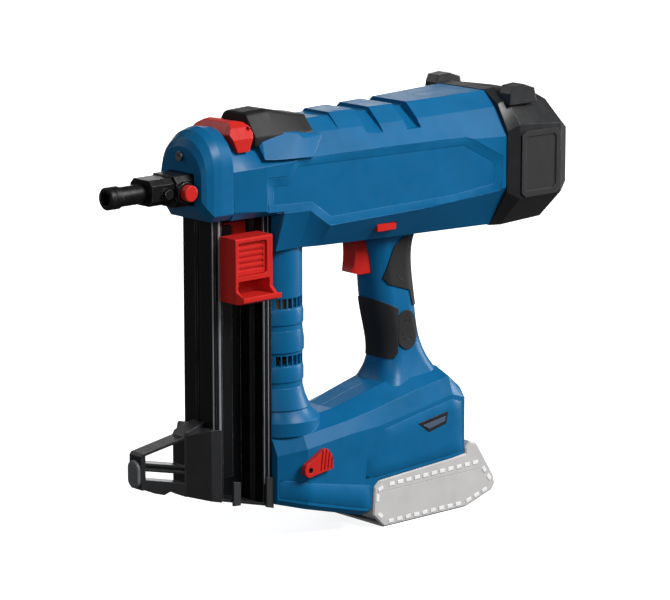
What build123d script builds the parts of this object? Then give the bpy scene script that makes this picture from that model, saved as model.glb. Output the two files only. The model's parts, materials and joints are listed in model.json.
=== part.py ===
"""Cordless nailer: nose towards -X, +Z up, the tool's left side towards -Y, millimetres.

The origin is at the bottom centre of the whole tool, under the battery.
Every piece is a separate solid. Running gaps and fits come from the named clearances.
"""
import os
from math import atan, cos, pi, radians, sin, tan

from build123d import *

os.makedirs("parts", exist_ok=True)

# ---------------------------------------------------------------- driving dimensions
axis_z = 294.0            # height of the firing axis
nose_tip_x = -220.5
rear_x = 220.5
wall = 2.5                # housing shell
gap = 0.3                 # between pieces of different bodies
fit = 0.02                # shaft in its bearing
seam = 0.15               # half the joint line between two covers

head_front_x = -147.0
cover_rear_x = -119.0     # rear edge of the front head cover
head_half = 29.0          # half width of the head
barrel_front_half = 34.5
barrel_rear_half = 53.0
barrel_step_x = -90.0     # where the barrel starts to widen evenly
barrel_rear_x = 150.0
barrel_top = 340.5

column_x = -53.0          # motor column, vertical
column_r = 22.0
mag_front_x = -131.5
mag_rear_x = -73.0
mag_half = 19.0
mag_top = 282.0
foot_slope = 14.5         # degrees, the line under foot, magazine and base
foot_line_x = -72.0
foot_line_z = 34.6

tube_r = 7.6              # muzzle contact tube
tube_bore_r = 5.5
tube_rear_x = -152.0
tip_r = 8.75
tip_length = 10.7
block_front_x = -186.0
block_half = 15.0
block_rear_x = -128.0
button_x = -158.0
button_r = 6.3
muzzle_travel = 18.0

lifter_x = -45.0
lifter_r = 20.0           # circle of the lifter pins
lifter_pins = 12
lifter_pin_r = 1.5
stroke_pitches = 11
blade_half = 3.0
blade_low = 4.0           # blade below the firing axis
blade_high = 4.0
blade_tip_x = -84.0
pinion_r = 7.0
crown_r = 24.6            # crown gear on the lifter shaft
shaft_r = 5.0
bearing_r = 8.5

cylinder_front_x = -12.0
cylinder_rear_x = 136.0
cylinder_r = 30.0
cylinder_wall = 4.0
piston_front_x = 122.0
piston_length = 12.0
buffer_length = 16.0
reservoir_r = 38.0
reservoir_rear_x = 200.0
reservoir_wall = 4.0

motor_low = 168.0
motor_high = 207.7
web_low = 139.0           # lower bearing web in the column
web_high = 208.0          # upper bearing web in the column
web_height = 4.5
gearcase_low = 213.0
gearcase_high = 236.2
motor_bearing_r = 9.0
rotor_shaft_r = 3.5

grip_half = 17.0
grip_depth = 44.0
grip_round = 14.5
pad_proud = 1.0

trigger_front_x = 23.5
trigger_rear_x = 56.0
trigger_half = 7.5
trigger_low = 203.0
trigger_high = 232.0
trigger_travel = 7.0
lock_x = 33.0
lock_z = 246.0
lock_length = 20.0
lock_height = 6.0
lock_travel = 4.0

latch_x = -51.8
latch_z = 62.4
latch_proud = 4.6
latch_pin_r = 2.2

lever_front_x = -118.0
lever_pin_x = -98.5       # jam lever's hinge, along Y
lever_pin_z = 337.0
lever_pin_r = 1.6
lever_ear_half = 7.5
cover_screw_z = 318.5

bumper_half = 60.0
bumper_wall = 4.0
bumper_pad_outline = [(161, 308), (166, 311), (201, 311), (205.5, 305), (205.5, 262), (199, 256.5),
                      (166, 256.5), (161, 260)]
pad_front_x = -93.0       # black pad on the top
pad_rear_x = -34.0
cradle_ribs = (2.0, 112.0)
board_ribs = (-20.0, 18.0)
board_z = 66.0            # underside of the control board
nail_rear_x = -86.0       # back of the nail strip
nail_slot_half = 2.4
battery_button_x = 140.0

dock_front_x = 28.0
dock_rear_x = 116.0
dock_half = 30.0

battery_half = 38.0
battery_wall = 2.2
cell_r = 10.6
cell_count = 5
cell_length = 70.0

pitch = 2 * pi * lifter_r / lifter_pins
stroke = stroke_pitches * pitch
lifter_z = axis_z - blade_low - lifter_r


# ---------------------------------------------------------------- shape helpers
def slab_y(outline, y_low, y_high):
    """Prism of an (x, z) outline between two y values."""
    with BuildPart() as body:
        with BuildSketch(Plane.XZ.offset(-y_high)):
            with BuildLine():
                Polyline(*outline, close=True)
            make_face()
        extrude(amount=y_high - y_low)
    return body.part


def slab_z(outline, z_low, z_high):
    """Prism of an (x, y) outline between two heights."""
    with BuildPart() as body:
        with BuildSketch(Plane.XY.offset(z_low)):
            with BuildLine():
                Polyline(*outline, close=True)
            make_face()
        extrude(amount=z_high - z_low)
    return body.part


def slab_x(outline, x_low, x_high):
    """Prism of a (y, z) outline between two x values."""
    with BuildPart() as body:
        with BuildSketch(Plane.YZ.offset(x_low)):
            with BuildLine():
                Polyline(*outline, close=True)
            make_face()
        extrude(amount=x_high - x_low)
    return body.part


def brick(x0, x1, y0, y1, z0, z1):
    """Box between two corners."""
    return slab_y([(x0, z0), (x1, z0), (x1, z1), (x0, z1)], y0, y1)


def rod_x(radius, x0, x1, y=0.0, z=axis_z):
    """Round bar along X."""
    with BuildPart() as body:
        with BuildSketch(Plane.YZ.offset(x0)):
            with Locations((y, z)):
                Circle(radius)
        extrude(amount=x1 - x0)
    return body.part


def rod_y(radius, y0, y1, x, z):
    """Round bar along Y."""
    with BuildPart() as body:
        with BuildSketch(Plane.XZ.offset(-y1)):
            with Locations((x, z)):
                Circle(radius)
        extrude(amount=y1 - y0)
    return body.part


def rod_z(radius, z0, z1, x=column_x, y=0.0):
    """Round bar along Z."""
    with BuildPart() as body:
        with BuildSketch(Plane.XY.offset(z0)):
            with Locations((x, y)):
                Circle(radius)
        extrude(amount=z1 - z0)
    return body.part


def coil(radius, wire, turns, length, origin, direction):
    """Compression spring along direction, from origin."""
    with BuildPart() as body:
        path = Helix(pitch=(length - 2 * wire) / turns, height=length - 2 * wire, radius=radius)
        with BuildSketch(Plane(origin=path @ 0, z_dir=path % 0)):
            Circle(wire)
        sweep(path=path, is_frenet=True)
    return Plane(origin=origin, z_dir=direction).from_local_coords(body.part.moved(Location((0, 0, wire))))


def mirrored(half):
    """Closed (y, z) outline from its +Y half, listed from the bottom to the top."""
    return [*half, *[(-y, z) for y, z in reversed(half)]]


def skin_loft(stations, inset=0.0):
    """Ruled loft through (x, half outline) stations, shrunk all round by inset."""
    with BuildPart() as body:
        for x, half in stations:
            with BuildSketch(Plane.YZ.offset(x)):
                with BuildLine():
                    Polyline(*mirrored(half), close=True)
                make_face()
                if inset:
                    offset(amount=-inset, kind=Kind.INTERSECTION, mode=Mode.REPLACE)
        loft(ruled=True)
    return body.part


def bottom_line(x):
    """Height of the sloping line under the foot, magazine and base."""
    return foot_line_z - (x - foot_line_x) * tan(radians(foot_slope))


def barrel_half(x):
    """Half width of the barrel at x."""
    share = (x - barrel_step_x) / (barrel_rear_x - barrel_step_x)
    return barrel_front_half + share * (barrel_rear_half - barrel_front_half)


# ---------------------------------------------------------------- housing volumes
def barrel_outline(x, low, low_half, ridge, upper, top):
    """Half section of the barrel: flat bottom, side between two ridges, shoulder, top."""
    half = barrel_half(x)
    return [(low_half, low), (half, ridge), (half, upper), (half - 14, top - 12), (half - 27, top)]


def barrel(inset=0.0, roof=0.0):
    """Barrel and the underbody that carries the trigger; roof lowers the inside further."""
    step_x = mag_rear_x + 0.5 + inset
    stations = [
        (cover_rear_x + seam, [(25, 268), (29, 275), (29, 306), (22, 322 - roof), (12, 330 - roof)]),
        (barrel_step_x, barrel_outline(barrel_step_x, 268, 27, 273, 308, 331 - roof)),
        (step_x - 1, barrel_outline(step_x - 1, 268, 29, 272, 309, 335 - roof)),
        (step_x, barrel_outline(step_x, 238, 24, 272, 309, 335 - roof)),
        (-48.0, barrel_outline(-48.0, 238, 24, 270.5, 309.5, 338 - roof)),
        (-28.0, barrel_outline(-28.0, 237, 25, 256, 310, 339.5 - roof)),
        (60.0, barrel_outline(60.0, 234.5, 28, 259, 311, barrel_top - roof)),
        (barrel_rear_x - seam, barrel_outline(barrel_rear_x, 233, 34, 266, 308, barrel_top + 2 - roof)),
    ]
    return skin_loft(stations, inset)


def column(inset=0.0, low=88.0, high=240.0):
    """Motor column with its flare into the base."""
    flare_top = 128.0
    flare_low = 99.0
    with BuildPart() as body:
        with BuildSketch(Plane.XY.offset(flare_top)):
            with Locations((column_x, 0)):
                Circle(column_r - inset)
        extrude(amount=high - flare_top)
        for z, shift, grow in [(flare_top, 0, 0), ((flare_top + flare_low) / 2, 1, 1.5), (flare_low, 6, 9)]:
            with BuildSketch(Plane.XY.offset(z)):
                with Locations((column_x + shift, 0)):
                    Circle(column_r + grow - inset)
        loft()
        with BuildSketch(Plane.XY.offset(low)):
            with Locations((column_x + 6, 0)):
                Circle(column_r + 9 - inset)
        extrude(amount=flare_low - low)
        cut_x = mag_rear_x + 0.5 + inset
        add(brick(cut_x - 60, cut_x, -60, 60, low - 1, high + 1), mode=Mode.SUBTRACT)
    return body.part


def grip(inset=0.0, low=96.0, high=246.0):
    """Leaning pistol grip that flares into the barrel and the base."""
    sections = [
        (high, 61.8, 18, 14),
        (226.0, 61.3, 4, 3),
        (200.0, 63.8, 0, 0),
        (165.0, 69.3, 0, 0),
        (135.0, 76.3, 2, 1),
        (118.0, 79.4, 14, 10),
        (low, 78.0, 40, 26),
    ]
    with BuildPart() as body:
        for z, x, longer, wider in sections:
            with BuildSketch(Plane.XY.offset(z)):
                with Locations((x, 0)):
                    RectangleRounded(grip_depth + longer - 2 * inset, 2 * grip_half + wider - 2 * inset,
                                     grip_round - inset)
        loft()
    return body.part


def base(inset=0.0):
    """Base between magazine, grip and battery, with a toe in front of the battery."""
    def half(low, side, ledge, top, width, ledge_in, top_half):
        return [(width - 3, low), (width, low + 4), (width, side), (width - ledge_in, ledge),
                (top_half, top)]

    stations = [
        (mag_rear_x + 0.5 + inset, half(34.6, 74, 85, 92, 25, 5, 10)),
        (-50.0, half(28.7, 78, 88, 95.5, 36, 5, 12)),
        (-5.0, half(16.8, 83, 93, 100, 37, 5, 14)),
        (26.0, half(9.0, 85, 98, 108, 38, 5, 16)),
        (70.0, half(9.0, 92, 107, 118.5, 38, 4, 18)),
        (106.0, half(9.0, 98, 112.5, 118.5, 38, 5, 18)),
        (120.5 - inset, half(9.0, 93, 101, 107, 37, 6, 16)),
    ]
    bay = [(7.5, 5.0), (9.5, 14.0), (16.0, 18.5), (17.8, 34.6), (24.0, 40.5), (130.0, 46.0), (130.0, 5.0)]
    with BuildPart() as body:
        add(skin_loft(stations, inset))
        with BuildSketch(Plane.XZ.offset(-60)):
            with BuildLine():
                Polyline(*bay, close=True)
            make_face()
            if inset:
                offset(amount=inset, kind=Kind.INTERSECTION, mode=Mode.REPLACE)
        extrude(amount=120, mode=Mode.SUBTRACT)
    return body.part


barrel_skin = barrel()
grip_skin = grip()
base_skin = base()

panel_outline = [(-87, 296), (-87, 272), (-47, 271), (-28, 257), (96, 260.5), (143, 265.5),
                 (144, 282), (144, 290), (108, 309.5), (-60, 309.5), (-70, 296)]
panel_depth = 2.2
panel_draft = 52.0        # degrees, slope of the panel's frame

groove_spans = [(-34, -9), (15, 31), (55, 69)]
groove_outline = [(-14, 337.4), (-34, 322), (-60, 322), (-60, 360), (60, 360), (60, 322),
                  (34, 322), (14, 337.4)]
groove_roof = 4.5         # how much lower the roof inside the barrel lies

vent_rows = [(190.0, 198.0), (144.0, 152.0)]
vent_width = 3.8
vent_angles = [46 + 13 * i for i in range(7)]

# x, z and how far out the head of each housing screw sits
screw_spots = [(-86, 314, 26), (-17, 248, 31), (62, 244, 34), (143, 246, 40),
               (69, 188, 15.5), (80, 121, 20), (107, 72, 36), (-28, 90, 33)]
screw_r = 1.6
screw_head_r = 3.1
screw_head_height = 2.5
boss_r = 4.0

panel_tilt = atan((barrel_rear_half - barrel_front_half) / (barrel_rear_x - barrel_step_x))


def side_face(side, depth):
    """Plane along one side of the barrel, that much below its surface."""
    return Plane(origin=(barrel_step_x, side * (barrel_front_half - depth), 0),
                 x_dir=(cos(panel_tilt), side * sin(panel_tilt), 0),
                 z_dir=(-sin(panel_tilt), side * cos(panel_tilt), 0))


with BuildPart() as hollow:
    add(barrel(wall, groove_roof))
    add(column(wall, 88.0, 246.0))
    add(grip(wall, 94.0, 250.0))
    add(base(wall))
    # full wall behind the side panels
    for side in (-1, 1):
        with BuildSketch(side_face(side, panel_depth + wall)):
            with BuildLine():
                Polyline((-30, -side * 240), (250, -side * 240), (250, -side * 330), (-30, -side * 330),
                         close=True)
            make_face()
        extrude(amount=12, mode=Mode.SUBTRACT)
    # cradle ribs for the cylinder and a rib that holds the driver guide
    for rib_x in cradle_ribs:
        add(brick(rib_x, rib_x + 3, -60, 60, 244, 345), mode=Mode.SUBTRACT)
        add(rod_x(cylinder_r + fit, rib_x - 1, rib_x + 4))
    add(brick(-92, -88, -40, 40, 283.6, 330), mode=Mode.SUBTRACT)
    add(brick(-93, -87, -10 - fit, 10 + fit, 283, 305 + fit))
    for rib_x in board_ribs:
        add(brick(rib_x, rib_x + 3, -40, 40, 5, board_z - fit), mode=Mode.SUBTRACT)
    # what stays standing inside: bearing webs, screw bosses, the seat behind the latch
    for web in (web_low, web_high):
        add(rod_z(column_r, web, web + web_height), mode=Mode.SUBTRACT)
        add(rod_z(motor_bearing_r + fit, web - 1, web + web_height + 1))
    for boss_x, boss_z, reach in screw_spots:
        add(rod_y(boss_r, -60, 60, boss_x, boss_z), mode=Mode.SUBTRACT)
    add(brick(-70, -30, -40, -30, 52, 78), mode=Mode.SUBTRACT)

with BuildPart() as housing:
    add(barrel_skin)
    add(column())
    add(grip_skin)
    add(base_skin)
    add(hollow.part, mode=Mode.SUBTRACT)
    # recessed side panels, one on each side
    for side in (-1, 1):
        with BuildSketch(side_face(side, panel_depth)):
            with BuildLine():
                Polyline(*[((x - barrel_step_x) / cos(panel_tilt), -side * z) for x, z in panel_outline],
                         close=True)
            make_face()
        extrude(amount=panel_depth * 3, taper=-panel_draft, mode=Mode.SUBTRACT)
    # grooves across the top that leave raised ribs
    for x0, x1 in groove_spans:
        add(slab_x(groove_outline, x0, x1), mode=Mode.SUBTRACT)
    # vents in the column, both sides
    for low, high in vent_rows:
        with BuildSketch(Plane.XY.offset(low)):
            with Locations((column_x, 0)):
                with PolarLocations(column_r - 1, len(vent_angles), vent_angles[0],
                                    vent_angles[-1] - vent_angles[0], endpoint=True):
                    Rectangle(8, vent_width)
                with PolarLocations(column_r - 1, len(vent_angles), -vent_angles[-1],
                                    vent_angles[-1] - vent_angles[0], endpoint=True):
                    Rectangle(8, vent_width)
        extrude(amount=high - low, mode=Mode.SUBTRACT)
    # the magazine's way up into the head
    add(brick(-150, mag_rear_x + 0.5, -mag_half - 0.5, mag_half + 0.5, 250, 276), mode=Mode.SUBTRACT)
    # trigger pocket and cross-bolt slot
    add(brick(28, 60, -trigger_half - gap, trigger_half + gap, trigger_low - gap, trigger_high + gap),
        mode=Mode.SUBTRACT)
    add(brick(lock_x - lock_length / 2 - gap, lock_x + lock_length / 2 + gap, -60, 60,
              lock_z - lock_height / 2 - gap, lock_z + lock_height / 2 + gap), mode=Mode.SUBTRACT)
    # ears for the jam lever's pin
    add(brick(-104, -94, -lever_ear_half, lever_ear_half, 322, 340))
    add(rod_y(lever_pin_r + fit, -20, 20, lever_pin_x, lever_pin_z), mode=Mode.SUBTRACT)
    # blind holes for the screw threads
    for boss_x, boss_z, reach in screw_spots:
        add(rod_y(screw_r + fit, -reach + 5.9, 1, boss_x, boss_z), mode=Mode.SUBTRACT)
    # opening for the battery dock, pivot hole of the magazine latch
    add(brick(dock_front_x - fit, dock_rear_x + fit, -dock_half - fit, dock_half + fit, 36, 55),
        mode=Mode.SUBTRACT)
    add(rod_y(latch_pin_r + fit, -45, -31, latch_x, latch_z), mode=Mode.SUBTRACT)

with BuildPart() as housing_left:
    add(housing.part)
    split(bisect_by=Plane.XZ, keep=Keep.TOP)
housing_left.part.label = "housing_left"
export_step(housing_left.part, "parts/housing_left.step")

with BuildPart() as housing_right:
    add(housing.part)
    split(bisect_by=Plane.XZ, keep=Keep.BOTTOM)
    # screws enter from this side
    for screw_x, screw_z, reach in screw_spots:
        add(rod_y(screw_r + 0.2, -1, 70, screw_x, screw_z), mode=Mode.SUBTRACT)
        add(rod_y(screw_head_r + 0.2, reach - screw_head_height - 0.5, 70, screw_x, screw_z),
            mode=Mode.SUBTRACT)
housing_right.part.label = "housing_right"
export_step(housing_right.part, "parts/housing_right.step")

with BuildPart() as housing_screws:
    for screw_x, screw_z, reach in screw_spots:
        seat = reach - screw_head_height - 0.5
        add(rod_y(screw_r, -reach + 6, seat, screw_x, screw_z))
        add(rod_y(screw_head_r, seat, seat + screw_head_height, screw_x, screw_z))
        add(rod_y(screw_r * 0.7, seat + 1.2, reach, screw_x, screw_z), mode=Mode.SUBTRACT)
housing_screws.part.label = "housing_screws"
export_step(housing_screws.part, "parts/housing_screws.step")


# ---------------------------------------------------------------- covers and trim
def arch(x, half, low, spring):
    """Head section: flat bottom, straight sides, round top."""
    with BuildSketch(Plane.YZ.offset(x)) as section:
        with BuildLine():
            Polyline((-half, spring), (-half, low + 5), (-half + 5, low), (half - 5, low),
                     (half, low + 5), (half, spring))
            ThreePointArc((half, spring), (0, spring + half), (-half, spring))
        make_face()
    return section.sketch


def dome(inset=0.0):
    """Round-topped head volume."""
    sections = [
        (head_front_x + inset, head_half - 5, 281, 302),
        (head_front_x + 3 + inset, head_half - 2.5, 276, 306),
        (head_front_x + 9, head_half - 0.6, 269, 309.5),
        (head_front_x + 16, head_half, 269, 311),
        (cover_rear_x - seam, head_half, 269, 309.5),
    ]
    with BuildPart() as body:
        for x, half, low, spring in sections:
            add(arch(x, half - inset, low + inset, spring))
        loft(ruled=True)
    return body.part


block_low = 282.0
block_high = 306.0

with BuildPart() as head_cover:
    add(dome())
    add(dome(wall), mode=Mode.SUBTRACT)
    add(brick(head_front_x - 5, block_rear_x, -block_half - 0.4, block_half + 0.4,
              block_low - 0.4, block_high + 0.4), mode=Mode.SUBTRACT)
    add(brick(mag_front_x - 0.8, cover_rear_x + 5, -mag_half - 0.5, mag_half + 0.5, 262, 273),
        mode=Mode.SUBTRACT)
    # boss behind the front screw
    add(rod_x(boss_r, head_front_x + 1.2, block_front_x + 48, 0, cover_screw_z))
    add(rod_x(screw_r + fit, head_front_x - 1, block_front_x + 47, 0, cover_screw_z), mode=Mode.SUBTRACT)
head_cover.part.label = "head_cover"
export_step(head_cover.part, "parts/head_cover.step")

with BuildPart() as head_screw:
    add(rod_x(screw_r, head_front_x - 0.2, block_front_x + 46, 0, cover_screw_z))
    add(rod_x(screw_head_r + 0.6, head_front_x - 2.4, head_front_x - 0.2, 0, cover_screw_z))
    with BuildSketch(Plane.YZ.offset(head_front_x - 1.2)):
        with Locations((0, cover_screw_z)):
            RegularPolygon(1.9, 6)
    extrude(amount=-3, mode=Mode.SUBTRACT)
head_screw.part.label = "head_screw"
export_step(head_screw.part, "parts/head_screw.step")

with BuildPart() as rear_bumper:
    outer = [
        (barrel_rear_x + seam, [(34, 232), (54, 262), (54, 312), (42, 333), (26, 343)]),
        (160.0, [(36, 231.5), (bumper_half - 1.5, 256), (bumper_half - 1.5, 317), (43, 336), (27, 344)]),
        (206.0, [(36, 233.5), (bumper_half, 257), (bumper_half, 314), (41, 331.5), (24, 336.5)]),
        (rear_x, [(28, 242), (bumper_half - 9, 263), (bumper_half - 9, 308), (34, 322), (20, 326.5)]),
    ]
    inner = [(outer[0][0] - 1, outer[0][1]), *outer[1:3], (rear_x - bumper_wall, outer[3][1])]
    add(skin_loft(outer))
    add(skin_loft(inner, bumper_wall), mode=Mode.SUBTRACT)
    # hanging lugs on the top
    for side in (-1, 1):
        lug = [(156, 332), (187, 332), (184, 344), (172, 348), (160, 347), (157, 341)]
        low_y, high_y = sorted((side * 37, side * 50))
        add(slab_y(lug, low_y, high_y))
    add(skin_loft(inner, bumper_wall), mode=Mode.SUBTRACT)
    # shallow seats for the side pads
    for side in (-1, 1):
        low_y, high_y = sorted((side * (bumper_half - 1.2), side * (bumper_half + 5)))
        add(slab_y(bumper_pad_outline, low_y, high_y), mode=Mode.SUBTRACT)
    # slots across the back
    for z in (270, 286, 302):
        add(brick(rear_x - 1.6, rear_x + 2, -30, 30, z - 2, z + 2), mode=Mode.SUBTRACT)
rear_bumper.part.label = "rear_bumper"
export_step(rear_bumper.part, "parts/rear_bumper.step")

for side, name in ((-1, "bumper_pad_left"), (1, "bumper_pad_right")):
    with BuildPart() as bumper_pad:
        low_y, high_y = sorted((side * (bumper_half - 1.2), side * bumper_half))
        add(slab_y(bumper_pad_outline, low_y, high_y))
        with BuildSketch(Plane.XZ.offset(bumper_half if side < 0 else -bumper_half)):
            with BuildLine():
                Polyline(*bumper_pad_outline, close=True)
            make_face()
            offset(amount=-5, mode=Mode.REPLACE)
        extrude(amount=0.6 if side > 0 else -0.6, mode=Mode.SUBTRACT)
    bumper_pad.part.label = name
    export_step(bumper_pad.part, f"parts/{name}.step")

with BuildPart() as top_pad:
    stations = [
        (pad_front_x, [(24, 322), (24, 330), (13, 345.5), (9, 347.5)]),
        (-72.0, [(25, 322), (25, 330), (14, 347), (9, 348.5)]),
        (-44.0, [(27, 322), (27, 329), (16, 341.5), (10, 342.5)]),
        (pad_rear_x, [(25, 322), (25, 328), (14, 340.5), (9, 341)]),
    ]
    add(skin_loft(stations))
    add(barrel_skin, mode=Mode.SUBTRACT)
top_pad.part.label = "top_pad"
export_step(top_pad.part, "parts/top_pad.step")

# ---------------------------------------------------------------- jam lever
lever_half = 26.0
lever_plate_low = 331.5
lever_plate_high = 343.0

with BuildPart() as jam_lever:
    plate = [(lever_front_x, 333), (-112, lever_plate_high - 1), (-107, lever_plate_high),
             (-98.5, lever_plate_high - 1.5), (-94.5, 337), (-98.5, lever_plate_low + 1), (-116, lever_plate_low)]
    lug = [(lever_front_x, 334), (-112, 342), (-98, 341), (-95, 334), (-100.5, 320), (-112, 320)]
    add(slab_y(plate, -20, 20))
    for side in (-1, 1):
        low_y, high_y = sorted((side * 17, side * lever_half))
        add(slab_y(lug, low_y, high_y))
    # crowned outside, hollow inside
    crown = [(-40, 346), (-13, 346), (-13, 343), (-21, 338.5), (-26, 330), (-26, 319), (-40, 319)]
    add(slab_x(crown, -125, -90), mode=Mode.SUBTRACT)
    add(slab_x([(-y, z) for y, z in crown], -125, -90), mode=Mode.SUBTRACT)
    add(slab_x([(-22.3, 310), (-22.3, 324), (-14, 332.2), (14, 332.2), (22.3, 324), (22.3, 310)],
               -125, -90), mode=Mode.SUBTRACT)
    # room for the housing's ear, and the pin hole
    add(brick(-106, -90, -lever_ear_half - gap, lever_ear_half + gap, 300, 360), mode=Mode.SUBTRACT)
    add(rod_y(lever_pin_r + 0.05, -30, 30, lever_pin_x, lever_pin_z), mode=Mode.SUBTRACT)
jam_lever.part.label = "jam_lever"
export_step(jam_lever.part, "parts/jam_lever.step")

with BuildPart() as jam_lever_pin:
    add(rod_y(lever_pin_r, -18, 18, lever_pin_x, lever_pin_z))
jam_lever_pin.part.label = "jam_lever_pin"
export_step(jam_lever_pin.part, "parts/jam_lever_pin.step")

# ---------------------------------------------------------------- muzzle
with BuildPart() as nose_block:
    profile = [(-15, 287), (-11.5, 282), (11.5, 282), (15, 287), (15, 302), (12, 306), (-12, 306), (-15, 302)]
    add(slab_x(profile, block_front_x + 22, block_rear_x))
    narrow = [(-13, 289), (-9, 285), (9, 285), (13, 289), (13, 301), (9, 305), (-9, 305), (-13, 301)]
    add(slab_x(narrow, block_front_x, block_front_x + 22))
    # boss for the nose button
    add(rod_y(button_r + 1.7, -20, 0, button_x, axis_z))
    add(rod_y(button_r + gap, -30, -16.6, button_x, axis_z), mode=Mode.SUBTRACT)
    add(rod_y(3.5 + gap, -30, 0, button_x, axis_z), mode=Mode.SUBTRACT)
    # ribbed stub in front of the button
    with BuildSketch(Plane.XZ.offset(11)):
        with Locations((button_x - 14.5, axis_z)):
            Circle(3.4)
            with PolarLocations(3.4, 12):
                Circle(0.7)
    extrude(amount=6.4)
    add(rod_x(tube_r + gap, block_front_x - 1, block_rear_x + 1), mode=Mode.SUBTRACT)
nose_block.part.label = "nose_block"
export_step(nose_block.part, "parts/nose_block.step")

with BuildPart() as contact_tube:
    with BuildSketch(Plane.XZ):
        with BuildLine():
            Polyline((nose_tip_x, axis_z + tube_bore_r), (nose_tip_x, axis_z + tip_r - 1),
                     (nose_tip_x + 1, axis_z + tip_r), (nose_tip_x + 4, axis_z + tip_r),
                     (nose_tip_x + 4.6, axis_z + tip_r - 0.7), (nose_tip_x + 5.6, axis_z + tip_r - 0.7),
                     (nose_tip_x + 6.2, axis_z + tip_r), (nose_tip_x + tip_length, axis_z + tip_r),
                     (nose_tip_x + tip_length + 1, axis_z + tube_r), (tube_rear_x, axis_z + tube_r),
                     (tube_rear_x, axis_z + tube_bore_r), close=True)
        make_face()
    revolve(axis=Axis((0, 0, axis_z), (1, 0, 0)))
contact_tube.part.label = "contact_tube"
export_step(contact_tube.part, "parts/contact_tube.step")

with BuildPart() as nose_spring:
    add(coil(tube_r - 0.9, 0.6, 5, block_rear_x - tube_rear_x - 0.1, (tube_rear_x + 0.05, 0, axis_z), (1, 0, 0)))
nose_spring.part.label = "nose_spring"
export_step(nose_spring.part, "parts/nose_spring.step")

with BuildPart() as nose_button:
    add(rod_y(button_r, -26, -20.3, button_x, axis_z))
    edges_out = nose_button.edges().filter_by(GeomType.CIRCLE).sort_by(Axis.Y)[0]
    fillet(edges_out, 0.8)
    add(rod_y(3.5, -20.3, -12, button_x, axis_z))
nose_button.part.label = "nose_button"
export_step(nose_button.part, "parts/nose_button.step")

guide_rear_x = -76.0
with BuildPart() as driver_guide:
    add(slab_x([(-10, 283.6), (10, 283.6), (10, 302), (7, 305), (-7, 305), (-10, 302)], block_rear_x, guide_rear_x))
    add(rod_x(5.9, block_rear_x - 1, guide_rear_x + 1), mode=Mode.SUBTRACT)
    add(brick(block_rear_x - 1, nail_rear_x, -nail_slot_half, nail_slot_half, 283, 294), mode=Mode.SUBTRACT)
driver_guide.part.label = "driver_guide"
export_step(driver_guide.part, "parts/driver_guide.step")

# ---------------------------------------------------------------- drive
with BuildPart() as drive_cylinder:
    add(rod_x(cylinder_r, cylinder_front_x, cylinder_rear_x))
    add(rod_x(cylinder_r - cylinder_wall, cylinder_front_x + 4, cylinder_rear_x + 1), mode=Mode.SUBTRACT)
    add(rod_x(7, cylinder_front_x - 1, cylinder_front_x + 5), mode=Mode.SUBTRACT)
    with BuildSketch(Plane.YZ.offset(cylinder_rear_x - 6)):
        with Locations((0, axis_z)):
            Circle(cylinder_r + 5)
            Circle(cylinder_r - cylinder_wall, mode=Mode.SUBTRACT)
    extrude(amount=6)
drive_cylinder.part.label = "drive_cylinder"
export_step(drive_cylinder.part, "parts/drive_cylinder.step")

with BuildPart() as stop_buffer:
    add(rod_x(cylinder_r - cylinder_wall - fit, cylinder_front_x + 4, cylinder_front_x + 4 + 12))
    add(rod_x(7, cylinder_front_x, cylinder_front_x + 20), mode=Mode.SUBTRACT)
stop_buffer.part.label = "stop_buffer"
export_step(stop_buffer.part, "parts/stop_buffer.step")

with BuildPart() as piston:
    with BuildSketch(Plane.XZ):
        r = cylinder_r - cylinder_wall - gap
        with BuildLine():
            Polyline((piston_front_x, axis_z), (piston_front_x, axis_z + r), (piston_front_x + 4, axis_z + r),
                     (piston_front_x + 4, axis_z + r - 2), (piston_front_x + 7, axis_z + r - 2),
                     (piston_front_x + 7, axis_z + r), (piston_front_x + piston_length, axis_z + r),
                     (piston_front_x + piston_length, axis_z), close=True)
        make_face()
    revolve(axis=Axis((0, 0, axis_z), (1, 0, 0)))
piston.part.label = "piston"
export_step(piston.part, "parts/piston.step")

with BuildPart() as piston_seal:
    r = cylinder_r - cylinder_wall - 0.05
    add(rod_x(r, piston_front_x + 4.02, piston_front_x + 6.98))
    add(rod_x(r - 1.9, piston_front_x + 3, piston_front_x + 8), mode=Mode.SUBTRACT)
piston_seal.part.label = "piston_seal"
export_step(piston_seal.part, "parts/piston_seal.step")

with BuildPart() as driver_blade:
    add(brick(blade_tip_x, piston_front_x, -blade_half, blade_half, axis_z - blade_low, axis_z + blade_high))
    for notch in range(stroke_pitches + 1):
        add(rod_y(lifter_pin_r + 0.4, -5, 5, lifter_x + notch * pitch, axis_z - blade_low), mode=Mode.SUBTRACT)
driver_blade.part.label = "driver_blade"
export_step(driver_blade.part, "parts/driver_blade.step")

with BuildPart() as reservoir_cap:
    with BuildSketch(Plane.XZ):
        with BuildLine():
            Polyline((cylinder_rear_x, axis_z + cylinder_r + 5), (cylinder_rear_x + 4, axis_z + cylinder_r + 5),
                     (cylinder_rear_x + 4, axis_z + reservoir_r), (reservoir_rear_x - 8, axis_z + reservoir_r),
                     (reservoir_rear_x, axis_z + reservoir_r - 8), (reservoir_rear_x, axis_z),
                     (reservoir_rear_x - reservoir_wall, axis_z),
                     (reservoir_rear_x - reservoir_wall, axis_z + reservoir_r - 8 - 0.4 * reservoir_wall),
                     (reservoir_rear_x - 8 - 0.4 * reservoir_wall, axis_z + reservoir_r - reservoir_wall),
                     (cylinder_rear_x + 4 + reservoir_wall, axis_z + reservoir_r - reservoir_wall),
                     (cylinder_rear_x + 4, axis_z + cylinder_r - 4),
                     (cylinder_rear_x, axis_z + cylinder_r - 4), close=True)
        make_face()
    revolve(axis=Axis((0, 0, axis_z), (1, 0, 0)))
reservoir_cap.part.label = "reservoir_cap"
export_step(reservoir_cap.part, "parts/reservoir_cap.step")

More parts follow.
